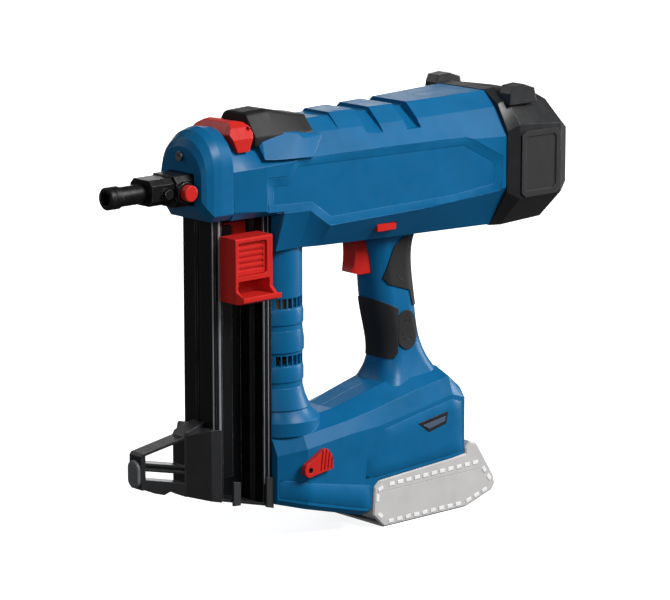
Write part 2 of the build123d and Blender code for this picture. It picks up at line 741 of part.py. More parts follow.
# ---------------------------------------------------------------- lifter and gears
flange_r = lifter_r + 1.7
flange_in = blade_half + 0.6
flange_out = flange_in + 2.8
with BuildPart() as lifter_wheel:
    add(rod_y(lifter_r - 6, -flange_in, flange_in, lifter_x, lifter_z))
    for side in (-1, 1):
        low_y, high_y = sorted((side * flange_in, side * flange_out))
        add(rod_y(flange_r, low_y, high_y, lifter_x, lifter_z))
    for pin in range(lifter_pins):
        turn = 2 * pi * pin / lifter_pins
        add(rod_y(lifter_pin_r, -flange_out, flange_out, lifter_x + lifter_r * sin(turn),
                  lifter_z + lifter_r * cos(turn)))
    add(rod_y(shaft_r + fit, -20, 20, lifter_x, lifter_z), mode=Mode.SUBTRACT)
lifter_wheel.part.label = "lifter_wheel"
export_step(lifter_wheel.part, "parts/lifter_wheel.step")

# the column is flat towards the magazine
flat_x = mag_rear_x + 0.5 + wall + gap
flat_cut = brick(flat_x - 20, flat_x, -40, 40, motor_low - 10, 300)

carrier_in = 15.0
carrier_out = 19.5
with BuildPart() as lifter_shaft:
    add(rod_y(shaft_r, -carrier_out - 1, carrier_out + 1, lifter_x, lifter_z))
lifter_shaft.part.label = "lifter_shaft"
export_step(lifter_shaft.part, "parts/lifter_shaft.step")

crown_teeth = 52
with BuildPart() as crown_gear:
    with BuildSketch(Plane.YZ.offset(lifter_x)):
        with BuildLine():
            Polyline((flange_out, lifter_z + shaft_r + fit), (flange_out, lifter_z + crown_r - 5),
                     (pinion_r + 0.3, lifter_z + crown_r), (pinion_r + 5, lifter_z + crown_r),
                     (pinion_r + 5, lifter_z + shaft_r + fit), close=True)
        make_face()
    revolve(axis=Axis((lifter_x, 0, lifter_z), (0, 1, 0)))
    with BuildSketch(Plane.XZ.offset(-pinion_r - 2)):
        with Locations((lifter_x, lifter_z)):
            with PolarLocations(crown_r - 1, crown_teeth):
                Rectangle(5, 1.3)
    extrude(amount=4, mode=Mode.SUBTRACT)
crown_gear.part.label = "crown_gear"
export_step(crown_gear.part, "parts/crown_gear.step")

pinion_low = lifter_z - crown_r - 1.5
pinion_high = lifter_z - flange_r - 0.9
with BuildPart() as drive_pinion:
    add(rod_z(pinion_r - 0.9, pinion_low, pinion_high))
    with BuildSketch(Plane.XY.offset(pinion_low)):
        with Locations((column_x, 0)):
            with PolarLocations(pinion_r - 1, 14):
                Rectangle(1.6, 1.2)
    extrude(amount=pinion_high - pinion_low, mode=Mode.SUBTRACT)
    add(rod_z(3.6, gearcase_low + 9, pinion_low))
drive_pinion.part.label = "drive_pinion"
export_step(drive_pinion.part, "parts/drive_pinion.step")

with BuildPart() as bearing_carrier:
    add(rod_z(column_r - wall - 0.4, gearcase_high, gearcase_high + 4.6))
    add(rod_z(pinion_r + 1, gearcase_high - 1, gearcase_high + 6), mode=Mode.SUBTRACT)
    for side in (-1, 1):
        low_y, high_y = sorted((side * carrier_in, side * carrier_out))
        add(slab_y([(-60, gearcase_high + 4.5), (-46, gearcase_high + 4.5), (-28, 252), (-28, 284),
                    (-62, 284), (-62, 252)], low_y, high_y))
        add(slab_y([(-60, gearcase_high), (-46, gearcase_high), (-46, gearcase_high + 6),
                    (-60, gearcase_high + 6)], *sorted((side * 12, side * 17))))
        add(slab_y([(-60, gearcase_high + 3), (-46, gearcase_high + 3), (-46, gearcase_high + 6),
                    (-60, gearcase_high + 6)], *sorted((side * carrier_in, side * (carrier_in + 3)))))
    add(rod_y(bearing_r + fit, -30, 30, lifter_x, lifter_z), mode=Mode.SUBTRACT)
    add(flat_cut, mode=Mode.SUBTRACT)
bearing_carrier.part.label = "bearing_carrier"
export_step(bearing_carrier.part, "parts/bearing_carrier.step")

with BuildPart() as lifter_bearings:
    for side in (-1, 1):
        low_y, high_y = sorted((side * carrier_in, side * carrier_out))
        add(rod_y(bearing_r, low_y, high_y, lifter_x, lifter_z))
    add(rod_y(shaft_r + fit, -30, 30, lifter_x, lifter_z), mode=Mode.SUBTRACT)
lifter_bearings.part.label = "lifter_bearings"
export_step(lifter_bearings.part, "parts/lifter_bearings.step")

with BuildPart() as gearbox_case:
    case_r = column_r - wall - 0.4
    add(rod_z(case_r, gearcase_low, gearcase_high - 0.05))
    add(rod_z(case_r - 2.5, gearcase_low + 2.5, gearcase_high - 2.5), mode=Mode.SUBTRACT)
    add(rod_z(3.6 + fit, gearcase_low + 5, gearcase_high + 1), mode=Mode.SUBTRACT)
    add(rod_z(rotor_shaft_r + fit, gearcase_low - 1, gearcase_low + 5), mode=Mode.SUBTRACT)
    add(flat_cut, mode=Mode.SUBTRACT)
gearbox_case.part.label = "gearbox_case"
export_step(gearbox_case.part, "parts/gearbox_case.step")

# ---------------------------------------------------------------- motor
stator_r = column_r - wall - 0.3
rotor_r = 10.5
with BuildPart() as motor_stator:
    with BuildSketch(Plane.XY.offset(motor_low)):
        with Locations((column_x, 0)):
            Circle(stator_r)
            Circle(stator_r - 3, mode=Mode.SUBTRACT)
            with PolarLocations(14, 6):
                Rectangle(7, 4.5)
            with PolarLocations(rotor_r + 1.7, 6):
                Rectangle(2, 8.4)
            Circle(rotor_r + 0.5, mode=Mode.SUBTRACT)
    extrude(amount=motor_high - motor_low)
    add(flat_cut, mode=Mode.SUBTRACT)
motor_stator.part.label = "motor_stator"
export_step(motor_stator.part, "parts/motor_stator.step")

with BuildPart() as motor_rotor:
    add(rod_z(rotor_r, motor_low + 2, motor_high - 2))
    add(rod_z(rotor_shaft_r, web_low, gearcase_low + 5))
motor_rotor.part.label = "motor_rotor"
export_step(motor_rotor.part, "parts/motor_rotor.step")

fan_low = 147.0
fan_high = 156.0
with BuildPart() as motor_fan:
    add(rod_z(16.5, fan_low, fan_low + 1.5))
    add(rod_z(6, fan_low, fan_high))
    with BuildSketch(Plane.XY.offset(fan_low + 1.4)):
        with Locations((column_x, 0)):
            with PolarLocations(11, 11):
                Rectangle(11, 1.2, rotation=25)
    extrude(amount=fan_high - fan_low - 1.4)
    add(rod_z(rotor_shaft_r + fit, fan_low - 1, fan_high + 1), mode=Mode.SUBTRACT)
motor_fan.part.label = "motor_fan"
export_step(motor_fan.part, "parts/motor_fan.step")

with BuildPart() as motor_bearings:
    for web in (web_low, web_high):
        add(rod_z(motor_bearing_r, web, web + web_height))
        add(rod_z(rotor_shaft_r + fit, web - 1, web + web_height + 1), mode=Mode.SUBTRACT)
motor_bearings.part.label = "motor_bearings"
export_step(motor_bearings.part, "parts/motor_bearings.step")

# ---------------------------------------------------------------- magazine
slot_front_x = -123.0
slot_rear_x = -82.0
channel_y = 4.0           # floor of the channel, on the far side
rail_bottom_front = bottom_line(mag_front_x)

rail_chambers = [(-129.2, -125.0, -16.5, 12.0), (-80.0, -75.2, -16.5, 16.5), (-121.0, -84.0, 6.0, 12.0)]

with BuildPart() as magazine_rail:
    with BuildSketch(Plane.XY.offset(20)):
        with BuildLine():
            Polyline((mag_front_x + 2, -mag_half), (slot_front_x, -mag_half), (slot_front_x, -9),
                     (slot_front_x + 3, -7), (slot_front_x + 3, channel_y), (slot_rear_x - 3, channel_y),
                     (slot_rear_x - 3, -7), (slot_rear_x, -9), (slot_rear_x, -mag_half),
                     (mag_rear_x, -mag_half), (mag_rear_x, mag_half), (slot_rear_x, mag_half),
                     (slot_rear_x, mag_half - 5), (slot_front_x, mag_half - 5), (slot_front_x, mag_half),
                     (mag_front_x + 2, mag_half), (mag_front_x, mag_half - 2), (mag_front_x, 3),
                     (mag_front_x + 1.6, 2), (mag_front_x + 1.6, -2), (mag_front_x, -3),
                     (mag_front_x, -mag_half + 2), close=True)
        make_face()
    extrude(amount=mag_top - 20)
    # hollow chambers of the extrusion
    for x0, x1, y0, y1 in rail_chambers:
        add(brick(x0, x1, y0, y1, 10, mag_top + 1), mode=Mode.SUBTRACT)
    # the sloping bottom, and a step under the blade guide
    add(slab_y([(-150, bottom_line(-150)), (-60, bottom_line(-60)), (-60, 10), (-150, 10)], -30, 30),
        mode=Mode.SUBTRACT)
magazine_rail.part.label = "magazine_rail"
export_step(magazine_rail.part, "parts/magazine_rail.step")

with BuildPart() as nail_guide:
    add(brick(slot_front_x + 0.05, -107, -12, -9.5, 62, 262))
    add(brick(slot_front_x + 0.05, slot_front_x + 2.5, -9.6, -9.02, 62, 262))
nail_guide.part.label = "nail_guide"
export_step(nail_guide.part, "parts/nail_guide.step")

shoe_front_x = -150.0
shoe_rear_x = -125.8         # clear of the pusher at the end of its travel
foot_half = 7.0
with BuildPart() as magazine_shoe:
    side = mag_half + 1.6
    plan = [(shoe_front_x, -foot_half + 1), (shoe_front_x, foot_half - 1), (-136, side), (shoe_rear_x, side),
            (shoe_rear_x, mag_half), (mag_front_x, mag_half), (mag_front_x, -mag_half), (shoe_rear_x, -mag_half),
            (shoe_rear_x, -side), (-136, -side)]
    add(slab_z(plan, 36, 106))
    add(slab_y([(-160, 98), (shoe_front_x, 100.5), (-134, 105), (-120, 102.5), (-110, 120), (-160, 120)], -40, 40),
        mode=Mode.SUBTRACT)
    add(slab_y([(-160, bottom_line(-160) - 3), (-110, bottom_line(-110) - 3), (-110, 20), (-160, 20)], -40, 40),
        mode=Mode.SUBTRACT)
    floor = [(mag_front_x - 4, bottom_line(mag_front_x - 4) - 2.4),
             (mag_front_x - 4, bottom_line(mag_front_x - 4) - 0.02),
             (mag_rear_x, bottom_line(mag_rear_x) - 0.02), (mag_rear_x, bottom_line(mag_rear_x) - 2.4)]
    add(slab_y(floor, -mag_half, mag_half))
magazine_shoe.part.label = "magazine_shoe"
export_step(magazine_shoe.part, "parts/magazine_shoe.step")

with BuildPart() as magazine_clip:
    clip = [(-114, 40.5), (-114, 60), (-107, 58.5), (-107, 40)]
    add(slab_y(clip, -mag_half - 2.2, -mag_half))
    heel = [(-80, 33.5), (-80, 58), (mag_rear_x, 56), (mag_rear_x, 31.5)]
    add(slab_y(heel, -mag_half - 2.2, -mag_half))
magazine_clip.part.label = "magazine_clip"
export_step(magazine_clip.part, "parts/magazine_clip.step")

# ---------------------------------------------------------------- support foot
post_front_x = -195.0
post_rear_x = -190.5
with BuildPart() as support_foot:
    frame = [(mag_front_x - 0.02, 108.5), (-139, 106.3), (-150.5, 103.2), (-152.5, 100), (-193, 93.5),
             (post_front_x, 91.5),
             (post_front_x, 67), (-193.5, 64.5), (-189, 65.6), (-186, 64.6), (-181, 59.9), (-172, 57.2),
             (-164.3, 59.4), (-160, 58.3), (-156, 54.6), (shoe_front_x, 51.5), (mag_front_x - 0.02, 51.5)]
    add(slab_y(frame, -foot_half, foot_half))
    # three windows
    add(slab_y([(post_rear_x, 91.6), (-152, 97.4), (-152, 77), (post_rear_x, 86)], -20, 20), mode=Mode.SUBTRACT)
    add(slab_y([(post_rear_x, 79.4), (-152, 70.4), (-152, 63.2), (post_rear_x, 72.6)], -20, 20), mode=Mode.SUBTRACT)
    # ribs are narrower than the frame
    for side in (-1, 1):
        low_y, high_y = sorted((side * (foot_half - 2), side * (foot_half + 2)))
        add(slab_y([(post_rear_x, 84), (-152, 75), (-152, 72.4), (post_rear_x, 81.4)], low_y, high_y),
            mode=Mode.SUBTRACT)
    add(magazine_shoe.part, mode=Mode.SUBTRACT)
    add(brick(shoe_front_x - 0.01, mag_front_x + 1, -30, 30, 45, 100), mode=Mode.SUBTRACT)
support_foot.part.label = "support_foot"
export_step(support_foot.part, "parts/support_foot.step")

with BuildPart() as foot_pad:
    with BuildSketch(Plane.YZ.offset(post_front_x)):
        with Locations((0, 77)):
            SlotOverall(22, 2 * foot_half - 1, rotation=90)
    extrude(amount=-3)
    fillet(foot_pad.edges().group_by(Axis.X)[0], 1.4)
foot_pad.part.label = "foot_pad"
export_step(foot_pad.part, "parts/foot_pad.step")

# ---------------------------------------------------------------- pusher
pusher_front_x = -125.2
pusher_rear_x = -87.8
pusher_low = 205.5
pusher_high = 256.0
pusher_face_y = -38.0
pusher_lip_y = -44.0
well_front_x = -123.0
well_rear_x = -93.6
well_low = 226.5
well_high = 252.4

with BuildPart() as pusher_frame:
    side_shape = [(-mag_half - 0.6, pusher_high), (pusher_face_y + 1, pusher_high), (pusher_face_y, pusher_high - 1),
                  (pusher_face_y, 215.5), (pusher_lip_y, 210.3), (pusher_lip_y, 207), (pusher_lip_y + 2, pusher_low),
                  (-mag_half - 0.6, pusher_low)]
    add(slab_x(side_shape, pusher_front_x, pusher_rear_x))
    # lip spreads to the rear and is cut back in front
    add(slab_z([(pusher_rear_x - 1, pusher_face_y), (pusher_rear_x, pusher_face_y), (-83.5, pusher_lip_y + 0.8),
                (-84, pusher_lip_y), (pusher_rear_x - 1, pusher_lip_y)], 206.5, 210.3))
    add(slab_z([(pusher_front_x - 1, pusher_face_y - 0.5), (pusher_front_x, pusher_face_y - 0.5),
                (-121.5, pusher_lip_y - 1), (pusher_front_x - 1, pusher_lip_y - 1)], 200, 215.5), mode=Mode.SUBTRACT)
    # button well with rounded corners
    with BuildSketch(Plane.XZ.offset(29.5)):
        with Locations(((well_front_x + well_rear_x) / 2, (well_low + well_high) / 2)):
            RectangleRounded(well_rear_x - well_front_x, well_high - well_low, 2)
    extrude(amount=12, mode=Mode.SUBTRACT)
    # finger space
    add(brick(-122.4, -91.0, -50, -mag_half - 3, 210.8, 222.6), mode=Mode.SUBTRACT)
    # stem through the slot, guide hole of the button
    add(brick(-103, -88, -mag_half - 1, -4, 222, 250))
    add(brick(-111 - gap, -105 + gap, -30, -26, 236 - gap, 243 + gap), mode=Mode.SUBTRACT)
pusher_frame.part.label = "pusher_frame"
export_step(pusher_frame.part, "parts/pusher_frame.step")

with BuildPart() as pusher_button:
    with BuildSketch(Plane.XZ.offset(33)):
        with Locations(((well_front_x + well_rear_x) / 2, (well_low + well_high) / 2)):
            RectangleRounded(well_rear_x - well_front_x - 2 * gap, well_high - well_low - 2 * gap, 1.6)
    extrude(amount=3.4)
    # wavy finger face
    for rib in range(5):
        z = well_low + 3.4 + rib * 4.6
        with BuildSketch(Plane.YZ.offset(well_front_x + 2.4)):
            with BuildLine():
                Polyline((-36.6, z + 0.4), (-35.2, z + 0.9), (-36.6, z + 3.4), close=True)
            make_face()
        extrude(amount=well_rear_x - well_front_x - 4.8, mode=Mode.SUBTRACT)
    add(brick(-111, -105, -33.1, -29.8, 236, 243))
pusher_button.part.label = "pusher_button"
export_step(pusher_button.part, "parts/pusher_button.step")

with BuildPart() as pusher_follower:
    add(brick(slot_front_x + 4, slot_rear_x - 4, -3.9, channel_y - 0.4, 224, 262))
pusher_follower.part.label = "pusher_follower"
export_step(pusher_follower.part, "parts/pusher_follower.step")

with BuildPart() as pusher_spring:
    add(rod_y(5, channel_y - 7, channel_y - 0.3, -102, 274))
    add(rod_y(1.6, channel_y - 8, channel_y + 1, -102, 274), mode=Mode.SUBTRACT)
pusher_spring.part.label = "pusher_spring"
export_step(pusher_spring.part, "parts/pusher_spring.step")

# ---------------------------------------------------------------- magazine latch
latch_side = 36.6
with BuildPart() as magazine_latch:
    with BuildSketch(Plane.XZ.offset(latch_side + gap)):
        with Locations((latch_x, latch_z)):
            Circle(6)
        with BuildLine():
            Polyline((latch_x - 4.5, latch_z + 4.2), (-37.5, 76.5), (-34, 77), (-28.5, 71), (-28.5, 60),
                     (latch_x + 3, latch_z - 5.2), close=True)
        make_face()
    extrude(amount=latch_proud)
    add(rod_y(latch_pin_r + 0.05, -60, -30, latch_x, latch_z), mode=Mode.SUBTRACT)
    for rib in range(4):
        x = -42 + rib * 3.6
        add(slab_y([(x, 60), (x + 1.3, 60), (x + 3.8, 78), (x + 2.5, 78)], -latch_side - latch_proud - 1,
                   -latch_side - latch_proud + 0.7), mode=Mode.SUBTRACT)
magazine_latch.part.label = "magazine_latch"
export_step(magazine_latch.part, "parts/magazine_latch.step")

with BuildPart() as latch_screw:
    add(rod_y(latch_pin_r, -latch_side - latch_proud - 0.2, -31.5, latch_x, latch_z))
    with BuildSketch(Plane.XZ.offset(latch_side + latch_proud + 0.2)):
        with Locations((latch_x, latch_z)):
            RegularPolygon(1.2, 6)
    extrude(amount=-2, mode=Mode.SUBTRACT)
latch_screw.part.label = "latch_screw"
export_step(latch_screw.part, "parts/latch_screw.step")

# ---------------------------------------------------------------- trigger group
with BuildPart() as trigger:
    with BuildSketch(Plane.XZ.offset(-trigger_half)):
        with BuildLine():
            Polyline((trigger_front_x - 0.6, trigger_low + 2.5), (trigger_front_x + 7, trigger_low),
                     (trigger_rear_x, trigger_low), (trigger_rear_x, trigger_high),
                     (trigger_front_x + 0.2, trigger_high))
            ThreePointArc((trigger_front_x + 0.2, trigger_high), (trigger_front_x + 2.6, trigger_low + 17),
                          (trigger_front_x - 0.6, trigger_low + 2.5))
        make_face()
    extrude(amount=2 * trigger_half)
    with BuildPart(mode=Mode.PRIVATE) as trigger_plan:
        add(slab_z([(trigger_front_x - 2, -4.5), (trigger_front_x + 3, -trigger_half),
                    (trigger_rear_x, -trigger_half), (trigger_rear_x, trigger_half),
                    (trigger_front_x + 3, trigger_half), (trigger_front_x - 2, 4.5)],
                   trigger_low - 1, trigger_high + 1))
    add(trigger_plan.part, mode=Mode.INTERSECT)
    add(rod_x(4, trigger_rear_x - 6, trigger_rear_x + 1, 0, 220), mode=Mode.SUBTRACT)
trigger.part.label = "trigger"
export_step(trigger.part, "parts/trigger.step")

switch_x = 67.0
with BuildPart() as trigger_spring:
    add(coil(2.8, 0.45, 5, switch_x - trigger_rear_x + 5.9, (trigger_rear_x - 5.95, 0, 220), (1, 0, 0)))
trigger_spring.part.label = "trigger_spring"
export_step(trigger_spring.part, "parts/trigger_spring.step")

with BuildPart() as trigger_switch:
    add(brick(switch_x, 79, -9, 9, 206, 230))
    add(brick(69, 74, -grip_half + wall + 1.6, grip_half - wall - 1.6, 212, 222))
trigger_switch.part.label = "trigger_switch"
export_step(trigger_switch.part, "parts/trigger_switch.step")

lock_near_y = -37.0
lock_far_y = 33.0
with BuildPart() as trigger_lock:
    add(brick(lock_x - lock_length / 2, lock_x + lock_length / 2, lock_near_y, lock_far_y,
              lock_z - lock_height / 2, lock_z + lock_height / 2))
    fillet(trigger_lock.edges().filter_by(Axis.Y), 1.2)
trigger_lock.part.label = "trigger_lock"
export_step(trigger_lock.part, "parts/trigger_lock.step")

# ---------------------------------------------------------------- grip pads
grip_proud = grip(-pad_proud, 112.0, 240.0)
front_pad_outline = [(10, 192), (30, 188), (56, 176), (64, 172), (64, 136), (60, 131), (40, 133), (20, 136)]
side_pad_x = 73.5
side_pad_z = 153.5

with BuildPart() as grip_front_pad:
    with BuildPart(mode=Mode.PRIVATE) as reach:
        add(slab_y(front_pad_outline, -40, 40))
    add(grip_proud)
    add(reach.part, mode=Mode.INTERSECT)
    add(grip_skin, mode=Mode.SUBTRACT)
    add(base_skin, mode=Mode.SUBTRACT)
grip_front_pad.part.label = "grip_front_pad"
export_step(grip_front_pad.part, "parts/grip_front_pad.step")

with BuildPart() as grip_side_pads:
    with BuildPart(mode=Mode.PRIVATE) as disc:
        with BuildSketch(Plane.XZ.offset(-40)):
            with Locations((side_pad_x, side_pad_z)):
                Ellipse(12, 16.5, rotation=8)
        extrude(amount=80)
        add(slab_y([(0, 100), (64.4, 100), (64.4, 200), (0, 200)], -50, 50), mode=Mode.SUBTRACT)
    add(grip_proud)
    add(disc.part, mode=Mode.INTERSECT)
    add(grip_skin, mode=Mode.SUBTRACT)
grip_side_pads.part.label = "grip_side_pads"
export_step(grip_side_pads.part, "parts/grip_side_pads.step")

thumb_outline = [(67, 231), (58, 224), (53.5, 212), (48.5, 199), (53, 193.5), (76, 186), (80, 172.5),
                 (93, 172.5), (100, 205), (104, 231)]
with BuildPart() as grip_thumb_pad:
    with BuildPart(mode=Mode.PRIVATE) as thumb:
        add(slab_y(thumb_outline, -40, 40))
    add(grip(-pad_proud, 112.0, 246.0))
    add(thumb.part, mode=Mode.INTERSECT)
    add(grip_skin, mode=Mode.SUBTRACT)
    add(barrel_skin, mode=Mode.SUBTRACT)
grip_thumb_pad.part.label = "grip_thumb_pad"
export_step(grip_thumb_pad.part, "parts/grip_thumb_pad.step")

# ---------------------------------------------------------------- base electrics
with BuildPart() as battery_dock:
    add(slab_y([(dock_front_x, 41.5), (dock_rear_x, 46), (dock_rear_x, 50), (dock_front_x, 50)],
               -dock_half, dock_half))
    for y in (-14, -5, 5, 14):
        add(brick(49.5, 65.5, y - 0.8, y + 0.8, 30, 60), mode=Mode.SUBTRACT)
battery_dock.part.label = "battery_dock"
export_step(battery_dock.part, "parts/battery_dock.step")

with BuildPart() as terminal_block:
    add(brick(46, 70, -18, 18, 50, 57))
    for y in (-14, -5, 5, 14):
        add(brick(50, 65, y - 0.5, y + 0.5, 36, 52))
terminal_block.part.label = "terminal_block"
export_step(terminal_block.part, "parts/terminal_block.step")

with BuildPart() as control_board:
    add(brick(-44, 64, -26, 26, board_z, board_z + 1.6))
    add(brick(50, 62, -8, 8, 57, board_z))
    for part_x, part_y, size in [(-20, -12, 9), (-20, 10, 9), (4, 0, 12), (28, -14, 8), (28, 14, 8), (48, 4, 7)]:
        add(brick(part_x - size / 2, part_x + size / 2, part_y - size / 2, part_y + size / 2,
                  board_z + 1.6, board_z + 1.6 + size / 2))
control_board.part.label = "control_board"
export_step(control_board.part, "parts/control_board.step")

vent_frame = [(68, 79), (99, 84.5), (96, 77.5), (76, 73)]
with BuildPart() as base_vents:
    for side in (-1, 1):
        low_y, high_y = sorted((side * 34, side * 38.6))
        add(slab_y(vent_frame, low_y, high_y))
    add(base_skin, mode=Mode.SUBTRACT)
base_vents.part.label = "base_vents"
export_step(base_vents.part, "parts/base_vents.step")

# ---------------------------------------------------------------- battery pack
battery_side = [(25.5, 40.2), (19.8, 35.0), (18.6, 11.5), (30, 0), (122, 0), (152, 9), (156, 14),
                (154, 21.5), (134, 52.5), (126, 55), (121.4, 50), (121.4, 45.4)]
lid_low = 30.0
with BuildPart() as battery_body:
    add(slab_y(battery_side, -battery_half, battery_half))
    chamfer(battery_body.faces().sort_by(Axis.Y)[0].edges(), 1.2)
    chamfer(battery_body.faces().sort_by(Axis.Y)[-1].edges(), 1.2)

with BuildPart() as battery_case:
    add(battery_body.part)
    add(brick(0, 170, -50, 50, lid_low, 80), mode=Mode.SUBTRACT)
    add(brick(22.5, 132, -battery_half + battery_wall, battery_half - battery_wall, battery_wall + 0.8, 80),
        mode=Mode.SUBTRACT)
    add(brick(battery_button_x - 3.5, 170, -12 - gap, 12 + gap, 12 - gap, 20 + gap), mode=Mode.SUBTRACT)
battery_case.part.label = "battery_case"
export_step(battery_case.part, "parts/battery_case.step")

with BuildPart() as battery_lid:
    add(battery_body.part)
    add(brick(0, 170, -50, 50, -10, lid_low), mode=Mode.SUBTRACT)
    for y in (-14, -5, 5, 14):
        add(brick(10, 67, y - 1.0, y + 1.0, 35, 50), mode=Mode.SUBTRACT)
battery_lid.part.label = "battery_lid"
export_step(battery_lid.part, "parts/battery_lid.step")

with BuildPart() as battery_cells:
    for cell in range(cell_count):
        add(rod_y(cell_r, -cell_length / 2, cell_length / 2, 22.6 + cell_r + 0.1 + cell * (2 * cell_r + 0.3),
                  battery_wall + 0.9 + cell_r))
battery_cells.part.label = "battery_cells"
export_step(battery_cells.part, "parts/battery_cells.step")

with BuildPart() as battery_button:
    add(slab_y([(battery_button_x, 12), (155.6, 12), (157.5, 15), (156.5, 20), (battery_button_x, 20)], -12, 12))
battery_button.part.label = "battery_button"
export_step(battery_button.part, "parts/battery_button.step")
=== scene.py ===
"""Looks of a cordless brad nailer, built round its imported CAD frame. Lengths are in metres."""

import json
import math

import bmesh
import bpy
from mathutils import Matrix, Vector
from mathutils.bvhtree import BVHTree


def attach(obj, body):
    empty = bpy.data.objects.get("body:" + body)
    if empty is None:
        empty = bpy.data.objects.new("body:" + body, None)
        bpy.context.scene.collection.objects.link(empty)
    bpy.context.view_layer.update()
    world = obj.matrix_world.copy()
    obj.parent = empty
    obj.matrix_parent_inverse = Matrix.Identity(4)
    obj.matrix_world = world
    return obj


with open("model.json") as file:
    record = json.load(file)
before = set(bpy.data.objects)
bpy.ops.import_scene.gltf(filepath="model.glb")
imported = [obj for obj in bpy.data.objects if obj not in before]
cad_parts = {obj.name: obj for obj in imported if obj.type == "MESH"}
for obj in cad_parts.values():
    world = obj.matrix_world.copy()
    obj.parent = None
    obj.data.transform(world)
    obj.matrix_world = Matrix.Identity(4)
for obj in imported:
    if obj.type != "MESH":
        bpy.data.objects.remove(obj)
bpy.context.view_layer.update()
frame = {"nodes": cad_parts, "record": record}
nodes = frame["nodes"]
MM = 0.001


# ---------------------------------------------------------------- materials

class Look:
    """A material's node tree, built with short calls that return sockets."""

    def __init__(self, name, color, roughness, metallic=0.0):
        self.material = bpy.data.materials.new(name)
        self.material.use_nodes = True
        self.tree = self.material.node_tree
        self.tree.nodes.clear()
        output = self.node("ShaderNodeOutputMaterial")
        self.shader = self.node("ShaderNodeBsdfPrincipled")
        self.link(self.shader.outputs["BSDF"], output.inputs["Surface"])
        self.shader.inputs["Base Color"].default_value = (*color, 1)
        self.shader.inputs["Roughness"].default_value = roughness
        self.shader.inputs["Metallic"].default_value = metallic
        self.place = self.node("ShaderNodeTexCoord").outputs["Object"]

    def node(self, kind, **settings):
        made = self.tree.nodes.new(kind)
        for key, value in settings.items():
            setattr(made, key, value)
        return made

    def link(self, source, target):
        self.tree.links.new(source, target)

    def stretched(self, stretch):
        mapping = self.node("ShaderNodeMapping")
        mapping.inputs["Scale"].default_value = stretch
        self.link(self.place, mapping.inputs["Vector"])
        return mapping.outputs["Vector"]

    def noise(self, grain, detail=2.0, stretch=None):
        """Noise whose features are about grain metres across; stretch scales it along x, y and z."""
        made = self.node("ShaderNodeTexNoise")
        made.inputs["Scale"].default_value = 1 / grain
        made.inputs["Detail"].default_value = detail
        self.link(self.stretched(stretch) if stretch else self.place, made.inputs["Vector"])
        return made.outputs["Fac"]

    def spread(self, source, low, high, to_low, to_high):
        """Maps low..high of source to to_low..to_high, clamped."""
        made = self.node("ShaderNodeMapRange")
        for key, value in zip(("From Min", "From Max", "To Min", "To Max"), (low, high, to_low, to_high)):
            made.inputs[key].default_value = value
        self.link(source, made.inputs["Value"])
        return made.outputs["Result"]

    def math(self, operation, first, second):
        made = self.node("ShaderNodeMath", operation=operation)
        for socket, value in zip(made.inputs, (first, second)):
            if isinstance(value, (int, float)):
                socket.default_value = value
            else:
                self.link(value, socket)
        return made.outputs[0]

    def blend(self, factor, first, second):
        """A colour between first and second, which are colours or sockets."""
        made = self.node("ShaderNodeMix", data_type="RGBA")
        self.link(factor, made.inputs["Factor"])
        for key, value in (("A", first), ("B", second)):
            socket = [s for s in made.inputs if s.name == key and s.type == "RGBA"][0]
            if isinstance(value, tuple):
                socket.default_value = (*value, 1)
            else:
                self.link(value, socket)
        return [s for s in made.outputs if s.type == "RGBA"][0]

    def edges(self, radius):
        """How near a sharp edge the surface is, 0 to 1, and the softened normal there."""
        bevel = self.node("ShaderNodeBevel", samples=6)
        bevel.inputs["Radius"].default_value = radius
        flat = self.node("ShaderNodeNewGeometry")
        turn = self.node("ShaderNodeVectorMath", operation="DOT_PRODUCT")
        self.link(bevel.outputs["Normal"], turn.inputs[0])
        self.link(flat.outputs["True Normal"], turn.inputs[1])
        return self.spread(turn.outputs["Value"], 0.99, 0.82, 0.0, 1.0), bevel.outputs["Normal"]

    def bump(self, height, depth, normal, strength):
        """The normal of a surface that height raises by up to depth metres, on top of another normal."""
        made = self.node("ShaderNodeBump")
        made.inputs["Strength"].default_value = strength
        made.inputs["Distance"].default_value = depth
        self.link(height, made.inputs["Height"])
        self.link(normal, made.inputs["Normal"])
        return made.outputs["Normal"]

    def set(self, **sockets):
        """Sets or links the shader's sockets by name, with _ for a space."""
        for key, value in sockets.items():
            socket = self.shader.inputs[key.replace("_", " ")]
            if isinstance(value, (int, float)):
                socket.default_value = value
            else:
                self.link(value, socket)
        return self


def tinted(color, factor):
    return tuple(min(1.0, c * factor) for c in color)


def moulded(name, color, roughness, grain=0.55 * MM, depth=0.02 * MM, edge=1.25, radius=0.9 * MM,
            gloss=0.22):
    """Moulded plastic: spark-eroded grain, faint flow mottling, edges rubbed lighter and smoother."""
    look = Look(name, color, roughness)
    worn, soft = look.edges(radius)
    mottle = look.spread(look.noise(26 * MM, 3), 0.3, 0.7, 0.0, 1.0)
    body = look.blend(mottle, tinted(color, 0.93), tinted(color, 1.06))
    rub = look.math("MULTIPLY", worn, look.spread(look.noise(6 * MM, 3), 0.35, 0.65, 0.35, 1.0))
    look.set(Base_Color=look.blend(rub, body, tinted(color, edge)))
    haze = look.spread(look.noise(9 * MM, 4), 0.3, 0.7, roughness - 0.04, roughness + 0.06)
    look.set(Roughness=look.math("SUBTRACT", haze, look.math("MULTIPLY", rub, 0.08)))
    look.set(Normal=look.bump(look.noise(grain, 2), depth, soft, 0.6))
    look.set(Specular_IOR_Level=gloss)
    return look


